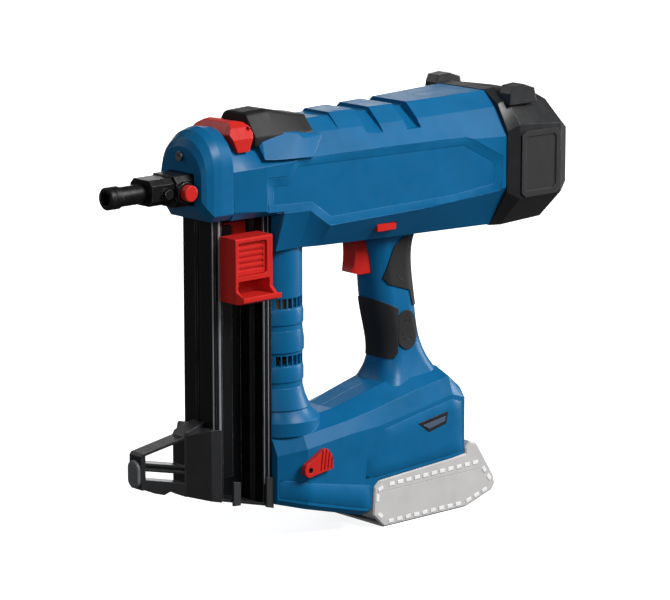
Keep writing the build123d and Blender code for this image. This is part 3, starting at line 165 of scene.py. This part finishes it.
def overmould(name, color, roughness=0.62, radius=0.8 * MM):
    """Soft rubber overmould with a leathery pebble and a dry, dusty bloom."""
    look = moulded(name, color, roughness, grain=0.8 * MM, depth=0.05 * MM, edge=1.9, radius=radius)
    dust = look.spread(look.noise(14 * MM, 5), 0.5, 0.75, 0.0, 0.35)
    source = look.shader.inputs["Base Color"].links[0].from_socket
    look.set(Base_Color=look.blend(dust, source, tinted(color, 1.7)))
    look.set(Specular_IOR_Level=0.35)
    return look


def steel(name, color, roughness, stretch=(1, 1, 1), grain=0.5 * MM, radius=0.5 * MM, scratch=0.01 * MM):
    """Machined metal: turning or grinding lines along the short axes of stretch, bright edges."""
    look = Look(name, color, roughness, metallic=1.0)
    worn, soft = look.edges(radius)
    stain = look.spread(look.noise(11 * MM, 4), 0.3, 0.7, 0.0, 1.0)
    look.set(Base_Color=look.blend(worn, look.blend(stain, tinted(color, 0.82), color), tinted(color, 1.35)))
    lines = look.noise(grain, 3, stretch)
    look.set(Roughness=look.spread(lines, 0.25, 0.75, roughness - 0.08, roughness + 0.12))
    look.set(Normal=look.bump(lines, scratch, soft, 0.5))
    return look


blue = (0.0030, 0.128, 0.305)
black = (0.016, 0.0165, 0.018)
red = (0.62, 0.022, 0.018)
pale = (0.60, 0.585, 0.580)

looks = {
    "housing_blue": moulded("housing_blue_plastic", blue, 0.36),
    "cover_black": moulded("cover_black_plastic", black, 0.36, edge=2.6, gloss=0.5),
    "soft_black": overmould("soft_black_rubber", (0.013, 0.013, 0.0145)),
    "control_red": moulded("control_red_plastic", red, 0.28, grain=0.9 * MM, depth=0.008 * MM, edge=1.15),
    "foot_grey": overmould("foot_grey_rubber", (0.15, 0.16, 0.17), 0.5),
    "screw_steel": steel("screw_steel", (0.30, 0.30, 0.31), 0.34, grain=0.25 * MM),
    "drive_steel": steel("ground_steel", (0.42, 0.42, 0.43), 0.28, (1, 8, 8)),
    "vessel_steel": steel("turned_steel", (0.45, 0.45, 0.46), 0.30, (12, 1, 1)),
    "drive_aluminium": steel("turned_aluminium", (0.62, 0.62, 0.64), 0.30, (10, 1, 1)),
    "seal_black": overmould("seal_elastomer", (0.02, 0.02, 0.02), 0.5),
    "motor_steel": steel("stacked_laminations", (0.30, 0.24, 0.18), 0.42, (1, 1, 14), grain=0.5 * MM),
    "electric_black": moulded("insulating_plastic", (0.028, 0.028, 0.03), 0.45, edge=1.6),
    "board_green": moulded("coated_board", (0.01, 0.12, 0.05), 0.30, grain=2.0 * MM),
    "battery_grey": moulded("battery_grey_plastic", pale, 0.42, edge=1.12),
    "louvre_grey": moulded("louvre_plastic", (0.075, 0.11, 0.17), 0.45),
    "dash_white": moulded("dash_inlay", (0.92, 0.92, 0.92), 0.45, edge=1.02),
    "cell_wrap": moulded("shrink_wrap", (0.06, 0.16, 0.32), 0.22, grain=3 * MM),
}


def anodised():
    """Black anodised extrusion with fine drawing lines along its length, and edges lightened partly as wear
    and partly as painted highlight.
    """
    color = (0.020, 0.021, 0.023)
    look = Look("rail_anodised", color, 0.32, metallic=0.75)
    worn, soft = look.edges(0.6 * MM)
    lines = look.noise(0.35 * MM, 3, (1, 1, 0.02))
    # edge lightening: partly wear, partly a painted highlight along the rail's corners
    wear_and_painted_highlight = look.math("MULTIPLY", worn, look.spread(look.noise(7 * MM, 4, (1, 1, 0.3)), 0.4, 0.62, 0.15, 1.0))
    look.set(Base_Color=look.blend(wear_and_painted_highlight, color, (0.42, 0.43, 0.45)))
    look.set(Roughness=look.spread(lines, 0.3, 0.7, 0.26, 0.42))
    look.set(Normal=look.bump(lines, 0.02 * MM, soft, 0.5))
    return look


def phosphated():
    """Black phosphated nose with rubbed bare edges."""
    color = (0.022, 0.021, 0.021)
    look = Look("nose_phosphated", color, 0.38, metallic=0.8)
    worn, soft = look.edges(0.7 * MM)
    crystals = look.noise(0.5 * MM, 4)
    rub = look.math("MULTIPLY", worn, look.spread(look.noise(3 * MM, 4), 0.42, 0.6, 0.1, 1.0))
    mottle = look.blend(look.spread(look.noise(5 * MM, 5), 0.35, 0.7, 0, 1), color, tinted(color, 1.9))
    look.set(Base_Color=look.blend(rub, mottle, (0.22, 0.21, 0.20)))
    look.set(Roughness=look.spread(crystals, 0.3, 0.7, 0.30, 0.50))
    look.set(Normal=look.bump(crystals, 0.015 * MM, soft, 0.6))
    return look


looks["rail_black"] = anodised()
# painted highlight: a pale metal for strips laid on the rail's corners and grooves in place of edge
# highlights
looks["rail_painted_highlight"] = moulded("rail_painted_highlight_metal", (0.30, 0.31, 0.33), 0.34, grain=0.4 * MM, edge=1.1, gloss=0.8)
looks["rail_painted_highlight"].set(Metallic=0.3)
looks["lever_screw"] = steel("blackened_screw", (0.03, 0.03, 0.03), 0.45, grain=0.25 * MM)
looks["dome_black"] = overmould("dome_black_rubber", (0.0085, 0.0085, 0.009), 0.5, radius=3.5 * MM)
looks["clip_black"] = moulded("clip_black_plastic", (0.045, 0.047, 0.050), 0.34, edge=1.6)
looks["nose_black"] = phosphated()

for part in frame["record"]["subparts"]:
    node = nodes[part["node"]]
    for slot in node.material_slots:
        slot.material = looks[part["material_slot"]].material

own_looks = {"latch_screw": "lever_screw", "top_pad": "dome_black", "magazine_clip": "clip_black"}
for name, look in own_looks.items():
    nodes[name].material_slots[0].material = looks[look].material


# ---------------------------------------------------------------- laid-on pieces

RAY_START = 0.2      # metres from the middle plane, outside every node
SUNK = 0.6           # millimetres that a border or band reaches into the skin


class Skin:
    """The outer surface of CAD nodes, which small pieces are laid on. Side -1 faces -Y and 1 faces +Y."""

    def __init__(self, *names):
        surface = bmesh.new()
        for name in names:
            surface.from_mesh(nodes[name].data)
        self.tree = BVHTree.FromBMesh(surface)
        surface.free()

    def hit(self, start, direction):
        return self.tree.ray_cast(Vector(start), Vector(direction))[0]

    def side(self, x, z, side):
        """The surface's y at x, z, all in millimetres, seen from that side."""
        found = self.hit((x * MM, side * RAY_START, z * MM), (0, -side, 0))
        return found.y / MM if found else None


def add_piece(name, made, slot, body, smooth=35):
    """Turns a bmesh in metres into a named piece that rides on a body."""
    bmesh.ops.recalc_face_normals(made, faces=made.faces)
    mesh = bpy.data.meshes.new(name)
    made.to_mesh(mesh)
    made.free()
    mesh.shade_smooth()
    mesh.set_sharp_from_angle(angle=math.radians(smooth))
    mesh.materials.append(looks[slot].material)
    piece = bpy.data.objects.new(name, mesh)
    bpy.context.scene.collection.objects.link(piece)
    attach(piece, body)
    return piece


def edge_distance(x, z, outline):
    """How far x, z is from the outline's nearest edge."""
    here = Vector((x, z))
    best = 1e9
    for first, second in zip(outline, outline[1:] + outline[:1]):
        a, b = Vector(first), Vector(second)
        along = max(0.0, min(1.0, (here - a).dot(b - a) / max((b - a).length_squared, 1e-9)))
        best = min(best, (here - a - along * (b - a)).length)
    return best


def laid_plate(made, skin, outline, side, rise, slope, cell=5.0, under=0.5):
    """Adds a plate to a bmesh: it follows the skin and stands rise above it, with a border that slopes up
    over slope. Lengths are in millimetres."""
    flat = bmesh.new()
    face = flat.faces.new([flat.verts.new((x, 0, z)) for x, z in outline])
    if slope:
        bmesh.ops.inset_region(flat, faces=[face], thickness=slope, use_even_offset=True)
    for axis, normal in ((0, (1, 0, 0)), (2, (0, 0, 1))):
        values = [v.co[axis] for v in flat.verts]
        for step in range(1, math.ceil((max(values) - min(values)) / cell)):
            at = [0, 0, 0]
            at[axis] = min(values) + step * cell
            geometry = flat.verts[:] + flat.edges[:] + flat.faces[:]
            bmesh.ops.bisect_plane(flat, geom=geometry, plane_co=at, plane_no=normal, dist=1e-5)
    bmesh.ops.triangulate(flat, faces=flat.faces)
    top, bottom = {}, {}
    for vert in flat.verts:
        x, z = vert.co.x, vert.co.z
        y = skin.side(x, z, side)
        if y is None:
            raise ValueError(f"nothing to lie on at {x:.1f}, {z:.1f}")
        share = min(1.0, edge_distance(x, z, outline) / slope) if slope else 1.0
        top[vert.index] = made.verts.new((x * MM, (y + side * rise * share) * MM, z * MM))
        bottom[vert.index] = made.verts.new((x * MM, (y - side * under) * MM, z * MM))
    for face in flat.faces:
        ring = [v.index for v in face.verts]
        made.faces.new([top[i] for i in ring])
        made.faces.new([bottom[i] for i in reversed(ring)])
    for edge in flat.edges:
        if edge.is_boundary:
            i, j = (v.index for v in edge.verts)
            made.faces.new([top[i], top[j], bottom[j], bottom[i]])
    flat.free()


def ribbon(path, width, closed=False):
    """The outlines of a flat strip of that width along a path, one four-cornered outline per run."""
    ends = path + path[:1] if closed else path
    count = len(ends)
    sides = []
    for i, point in enumerate(ends):
        before = Vector(ends[i - 1]) if i else (Vector(ends[-2]) if closed else None)
        after = Vector(ends[i + 1]) if i < count - 1 else (Vector(ends[1]) if closed else None)
        here = Vector(point)
        pairs = ((before, here), (here, after))
        runs = [(b - a).normalized() for a, b in pairs if a is not None and b is not None]
        along = sum(runs, Vector((0, 0))).normalized()
        across = Vector((-along.y, along.x)) * width / 2 / max(0.5, along.dot(runs[0]))
        sides.append((tuple(here + across), tuple(here - across)))
    return [[a[0], b[0], b[1], a[1]] for a, b in zip(sides, sides[1:])]


def dashes(path, dash, space, width):
    """Outlines of short dashes along a closed path."""
    ends = path + path[:1]
    found, carry = [], space / 2
    for a, b in zip(ends, ends[1:]):
        a, b = Vector(a), Vector(b)
        length = (b - a).length
        along = (b - a) / length
        across = Vector((-along.y, along.x)) * width / 2
        while carry + dash <= length:
            start, end = a + along * carry, a + along * (carry + dash)
            found.append([tuple(p) for p in (start + across, end + across, end - across, start - across)])
            carry += dash + space
        carry = max(space / 2, carry - length)
    return found


def lay(name, outlines, skin, slot, body, rise, slope=0.0, sides=(-1, 1), cell=5.0, under=0.5):
    """Lays plates with these outlines on a skin as one piece."""
    made = bmesh.new()
    for side in sides:
        for outline in outlines:
            laid_plate(made, skin, outline, side, rise, slope, cell, under)
    return add_piece(name, made, slot, body)


def moved_outline(outline, distance):
    """The outline with every side moved outwards by distance, or inwards where it is negative."""
    area = sum(a[0] * b[1] - b[0] * a[1] for a, b in zip(outline, outline[1:] + outline[:1]))
    sign = 1 if area > 0 else -1
    found = []
    for i, point in enumerate(outline):
        before, here = Vector(outline[i - 1]), Vector(point)
        after = Vector(outline[(i + 1) % len(outline)])
        first, second = (here - before).normalized(), (after - here).normalized()
        out = (Vector((first.y, -first.x)) + Vector((second.y, -second.x))).normalized()
        out *= sign * distance / max(0.4, out.dot(Vector((first.y, -first.x))))
        found.append(tuple(here + out))
    return found


def sloped_ring(name, loops, skin, slot, body, sides=(-1, 1), cell=8.0):
    """A faceted border through loops of (outline, proud), whose outlines have the same number of corners."""
    made = bmesh.new()
    corners = len(loops[0][0])
    for side in sides:
        rows = []
        for i in range(corners):
            j = (i + 1) % corners
            first = loops[0][0]
            count = max(1, round((Vector(first[j]) - Vector(first[i])).length / cell))
            for step in range(count):
                row = []
                for outline, proud in loops:
                    point = Vector(outline[i]).lerp(Vector(outline[j]), step / count)
                    y = skin.side(point.x, point.y, side)
                    row.append([made.verts.new((point.x * MM, (y + side * lift) * MM, point.y * MM))
                                for lift in (proud, -SUNK)])
                rows.append([pair[0] for pair in row] + [pair[1] for pair in reversed(row)])
        for this, following in zip(rows, rows[1:] + rows[:1]):
            for a in range(len(this)):
                b = (a + 1) % len(this)
                made.faces.new([this[a], this[b], following[b], following[a]])
    return add_piece(name, made, slot, body)


def mirrored_hull(name, points, slot, body):
    """A convex block on the -Y side and its mirror image on the +Y side."""
    made = bmesh.new()
    for side in (1, -1):
        corners = [made.verts.new((x * MM, side * y * MM, z * MM)) for x, y, z in points]
        bmesh.ops.convex_hull(made, input=corners)
    return add_piece(name, made, slot, body, smooth=12)


def ellipse(x, z, half_x, half_z, turn=0.0, count=28):
    """Points round an ellipse that is turned by turn degrees."""
    points = []
    for i in range(count):
        a = 2 * math.pi * i / count
        u, v = half_x * math.cos(a), half_z * math.sin(a)
        c, s = math.cos(math.radians(turn)), math.sin(math.radians(turn))
        points.append((x + u * c - v * s, z + u * s + v * c))
    return points


housing_skin = Skin("housing_left", "housing_right")

# the raised field at the rear of the base, the step at its toe, and a black plate painted as the shade of the
# louvred vent's recess
base_field = [(10.5, 43.5), (13, 60.3), (30.8, 81.5), (70, 88.5), (106, 94.2), (116.5, 90), (118, 48.2),
              (26, 43.5)]
base_toe = [(-71, 55), (4.4, 39.8), (15, 37.5), (14.5, 18.5), (-5, 23), (-50, 35), (-71, 40)]
lay("base_field", [base_field], housing_skin, "housing_blue", "root", 1.6, 4.0)
lay("base_toe", [base_toe], housing_skin, "housing_blue", "root", 1.5, 3.5)
louvre = [(65.7, 80.2), (99.4, 85.4), (97.4, 75.2), (78.1, 71.1)]
# painted shade: this black plate stands flush with the field where the vent's hollow would look dark
lay("vent_painted_shade", [louvre], housing_skin, "cover_black", "root", 1.75, 0.0)
louvre_bar = [(70.6, 77.9), (96.1, 81.6), (95.4, 77.5), (78.2, 73.9)]
lay("vent_louvre", [louvre_bar], housing_skin, "louvre_grey", "root", 2.1, 0.0)


# the sloping frame inside the barrel's side panel
panel = [(-87, 296), (-87, 272), (-47, 271), (-28, 257), (96, 260.5), (143, 265.5),
         (144, 282), (144, 290), (108, 309.5), (-60, 309.5), (-70, 296)]
panel_loops = [(moved_outline(panel, out), proud) for out, proud in ((2.2, 0.03), (0.6, 0.7), (-5.0, 0.05))]
sloped_ring("panel_frame", panel_loops, housing_skin, "housing_blue", "root")

# faceted shoulders where the head widens into the barrel
shoulder = [(-83, -19, 333), (-54, -28, 329.7), (-49.9, -32, 325.4), (-71.6, -38.2, 312.3),
            (-83, -35.6, 312.5), (-91, -33.2, 313), (-88, -16, 331), (-52, -18, 333), (-28, -28.5, 326),
            (-46, -39.5, 311.5), (-60, -10, 322)]
mirrored_hull("barrel_shoulder", shoulder, "housing_blue", "root")

# pale strips along the magazine rail's edges and grooves, painted highlights standing in for the bright lines
# that light draws there
rail_skin = Skin("magazine_rail")
rail_low, rail_high = 52.0, 281.0
rail_rise = 0.12
for index, (middle, width) in enumerate(((-125.6, 2.2), (-131.0, 0.8), (-80.6, 0.9), (-76.2, 0.9))):
    strip = [(middle - width / 2, rail_low), (middle + width / 2, rail_low),
             (middle + width / 2, rail_high), (middle - width / 2, rail_high)]
    lay(f"rail_painted_highlight_{index + 1}", [strip], rail_skin, "rail_painted_highlight", "magazine", rail_rise, sides=(-1,),
        cell=40.0)


def column_band(name, levels):
    """A band round the motor column: levels are (z, proud) from the top down, in millimetres."""
    made = bmesh.new()
    middle_x, reach, steps = -53.0, 34.0, 56
    turn = math.radians(144)
    rings = []
    for z, proud in levels:
        ring = []
        for i in range(steps + 1):
            a = -turn + 2 * turn * i / steps
            out = Vector((math.cos(a), math.sin(a), 0))
            start = Vector((middle_x, 0, z)) + out * reach
            found = housing_skin.hit(start * MM, -out)
            radius = ((found.xy / MM) - Vector((middle_x, 0))).length
            ring.append([made.verts.new((Vector((middle_x, 0, z)) + out * (radius + r)) * MM)
                         for r in (proud, -SUNK)])
        rings.append(ring)
    for upper, lower in zip(rings, rings[1:]):
        for i in range(steps):
            for k in (0, 1):
                made.faces.new([upper[i][k], upper[i + 1][k], lower[i + 1][k], lower[i][k]])
        for i in (0, steps):
            made.faces.new([upper[i][0], upper[i][1], lower[i][1], lower[i][0]])
    for ring in (rings[0], rings[-1]):
        for i in range(steps):
            made.faces.new([ring[i][0], ring[i][1], ring[i + 1][1], ring[i + 1][0]])
    add_piece(name, made, "housing_blue", "root")


for name, foot in (("column_band_high", 154.0), ("column_band_low", 108.0)):
    column_band(name, [(foot + 18.0, 0.05), (foot + 9.5, 1.2), (foot + 0.8, 1.2), (foot, 0.4)])
for name, top in (("column_lip_high", 189.4), ("column_lip_low", 143.4)):
    column_band(name, [(top, 0.05), (top - 3.2, 0.8), (top - 12.5, 0.8), (top - 13.2, 0.2)])

# grip pads: nested grooves behind the thumb, a ring on each side pad
thumb_skin = Skin("grip_thumb_pad")
thumb_lines = [
    [(73.5, 226.0), (69.5, 219.5), (66.8, 212.5), (63.6, 200.5), (65.0, 196.8), (69.5, 193.3), (78.5, 190.6)],
    [(75.2, 220.5), (71.8, 212.0), (69.8, 200.8), (71.8, 198.0), (79.2, 195.0)],
    [(77.0, 215.0), (74.6, 206.0), (75.6, 202.6), (80.0, 200.0)],
]
for index, path in enumerate(thumb_lines):
    lay(f"thumb_ridge_{index + 1}", ribbon(path, 1.2), thumb_skin, "soft_black", "root", 0.55, 0.35, cell=4.0)
pad_skin = Skin("grip_side_pads")
pad_ring = ribbon(ellipse(74.0, 153.5, 6.2, 8.4, 8), 0.9, closed=True)
lay("side_pad_ring", pad_ring, pad_skin, "soft_black", "root", 0.45, 0.3)

# dashed inlay round the pale battery
battery_skin = Skin("battery_case", "battery_lid")
battery_edge = [(30.5, 34.5), (23.2, 31.5), (22.5, 13.5), (33, 4.0), (120.5, 4.0), (148.5, 12.2),
                (151.0, 17), (137, 36)]
lay("battery_dashes", dashes(battery_edge, 5.8, 3.6, 3.2), battery_skin, "dash_white", "battery", 0.25, 0.0,
    cell=3.0)


# ---------------------------------------------------------------- stage and camera

def flat_square(name, size, z):
    """A level square of that size in metres, centred on the origin."""
    mesh = bpy.data.meshes.new(name)
    half = size / 2
    corners = [(-half, -half, z), (half, -half, z), (half, half, z), (-half, half, z)]
    mesh.from_pydata(corners, [], [(0, 1, 2, 3)])
    made = bpy.data.objects.new(name, mesh)
    bpy.context.scene.collection.objects.link(made)
    return made


floor_size, floor_drop = 24, 0.0002
floor = flat_square("studio_floor", floor_size, -floor_drop)
floor_look = Look("floor_paint", (0.9, 0.9, 0.9), 0.9)
floor_look.shader.inputs["Emission Color"].default_value = (1, 1, 1, 1)
floor_look.shader.inputs["Emission Strength"].default_value = 0.85
floor.data.materials.append(floor_look.material)
floor.visible_diffuse = False
floor.visible_glossy = False

world = bpy.data.worlds.new("studio")
world.use_nodes = True
world.node_tree.nodes["Background"].inputs["Color"].default_value = (1, 1, 1, 1)
world.node_tree.nodes["Background"].inputs["Strength"].default_value = 0.09
bpy.context.scene.world = world

aim = Vector((0.011, 0, 0.184))


def area_light(name, place, size, watts):
    """A rectangular light at a place, turned to the object's middle."""
    data = bpy.data.lights.new(name, "AREA")
    data.shape = "RECTANGLE"
    data.size, data.size_y = size
    data.energy = watts
    made = bpy.data.objects.new(name, data)
    made.location = place
    made.rotation_euler = (aim - Vector(place)).to_track_quat("-Z", "Y").to_euler()
    bpy.context.scene.collection.objects.link(made)


for light in (
    ("key", (0.65, -1.7, 1.75), (1.1, 0.9), 57),
    ("front", (-1.75, -1.75, 0.95), (0.3, 0.5), 8),
    ("edge", (-1.2, 1.9, 1.5), (0.5, 1.4), 6),
    ("rim", (2.2, -0.7, 0.6), (0.5, 1.2), 28),
    ("back", (1.3, 2.0, 0.45), (1.1, 0.9), 8),
):
    area_light(*light)

camera_data = bpy.data.cameras.new("camera")
camera_data.sensor_width = 36
camera_data.lens = 182.69
camera = bpy.data.objects.new("camera", camera_data)
azimuth, elevation, distance = math.radians(-42), math.radians(12), 2.72
level = Vector((math.sin(azimuth), -math.cos(azimuth), 0)) * math.cos(elevation)
back = level + Vector((0, 0, math.sin(elevation)))
camera.location = aim + back * distance
camera.rotation_euler = (-back).to_track_quat("-Z", "Y").to_euler()
bpy.context.scene.collection.objects.link(camera)
bpy.context.scene.camera = camera
bpy.context.scene.view_settings.view_transform = "Standard"
